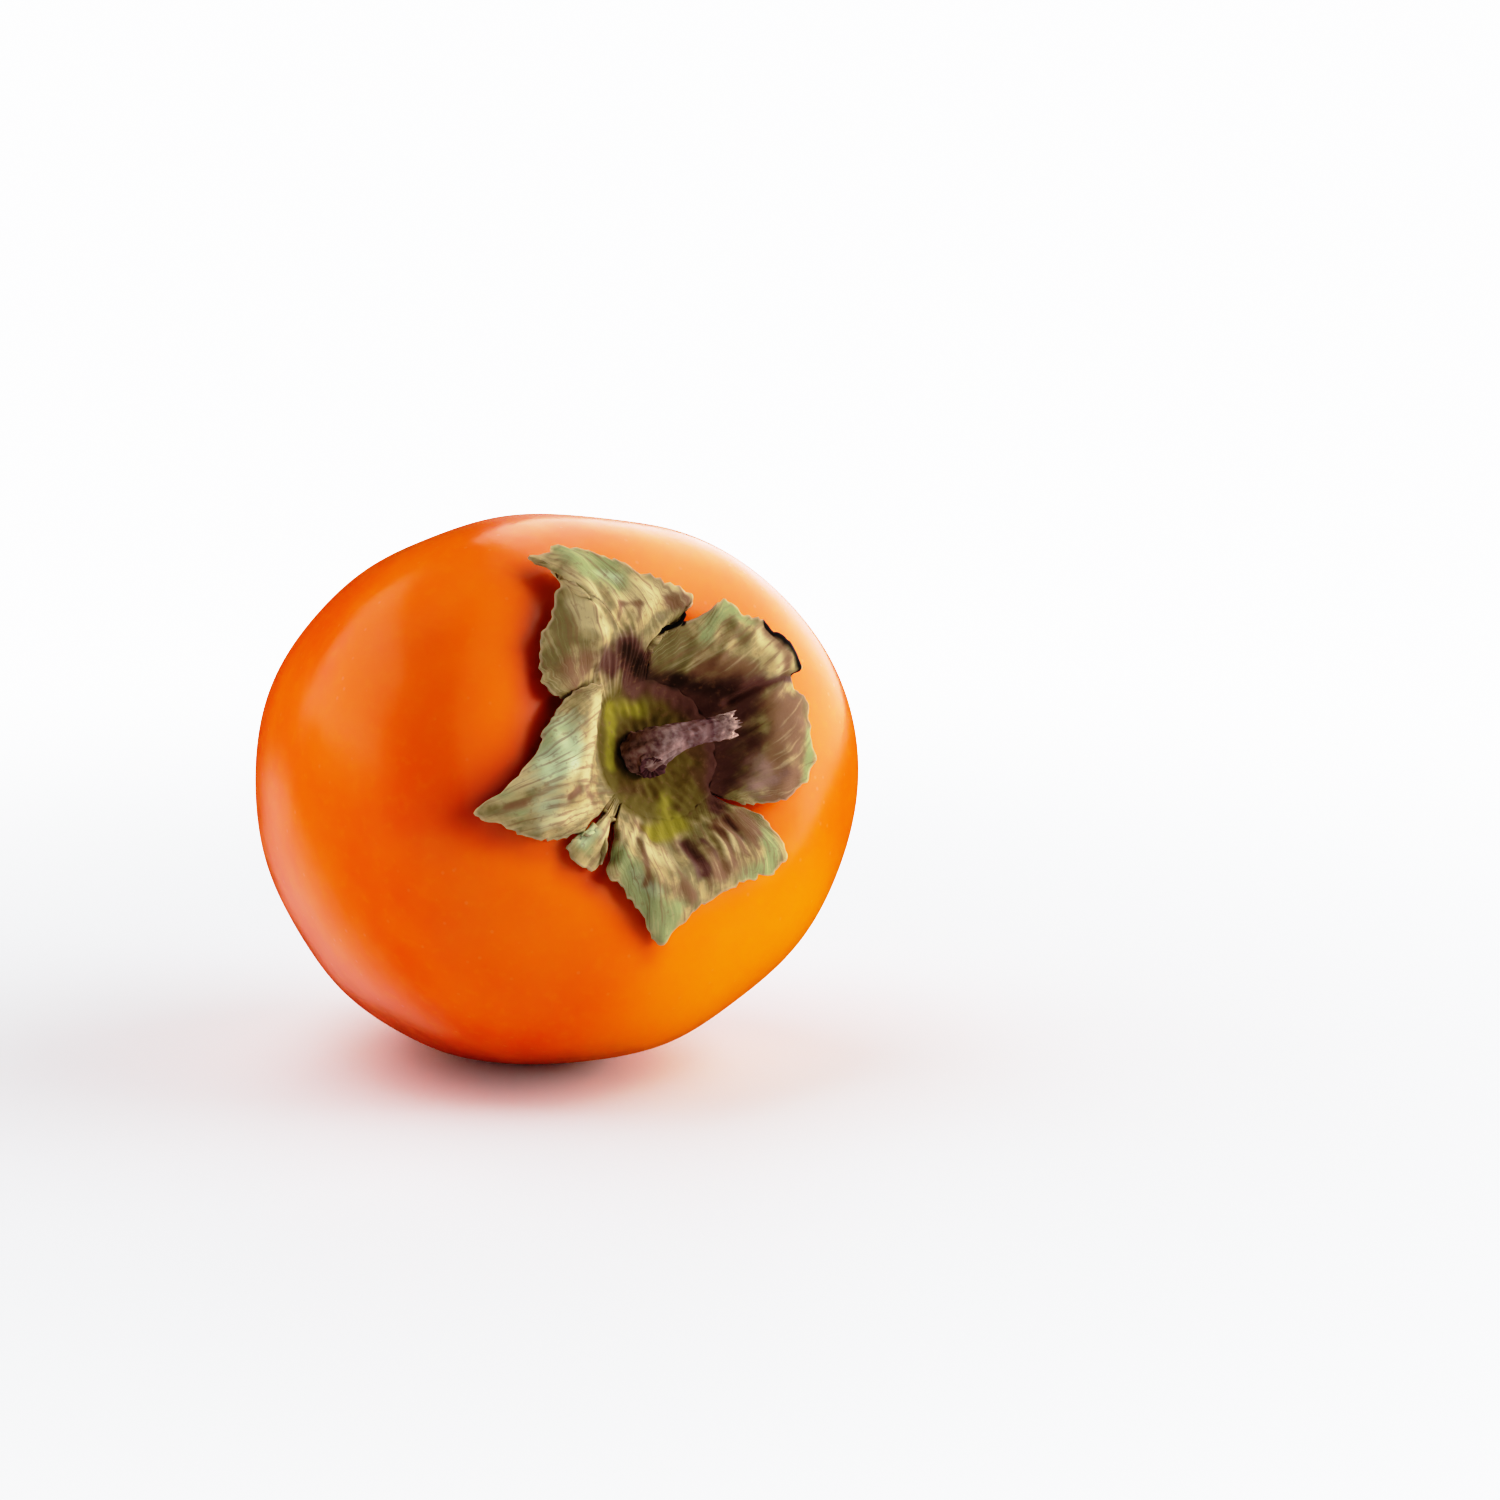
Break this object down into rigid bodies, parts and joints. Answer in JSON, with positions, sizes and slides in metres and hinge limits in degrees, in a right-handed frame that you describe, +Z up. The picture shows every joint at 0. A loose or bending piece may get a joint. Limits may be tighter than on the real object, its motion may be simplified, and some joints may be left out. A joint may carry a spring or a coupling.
{
  "type": "persimmon",
  "caption": "Ripe kaki persimmon lying on its side: heart-shaped fruit with its dried lobed calyx and a short cut stalk.",
  "frame": {"origin": "middle of the small flat under the fruit that it rests on", "axes": "+Z up, away from the resting surface; the fruit's core points out of the calyx along -Y and 20.1 degrees upwards; +X is to the right when facing the calyx"},
  "size_m": [0.0798, 0.0806, 0.0737],
  "materials": {
    "skin": "smooth waxy fruit skin, satin gloss",
    "dried_calyx": "dry papery leaf, matt, veined",
    "woody_stalk": "dry bark, matt"
  },
  "bodies": {
    "root": {"fruit": "skin", "calyx": "dried_calyx", "stem": "woody_stalk"}
  },
  "joints": []
}
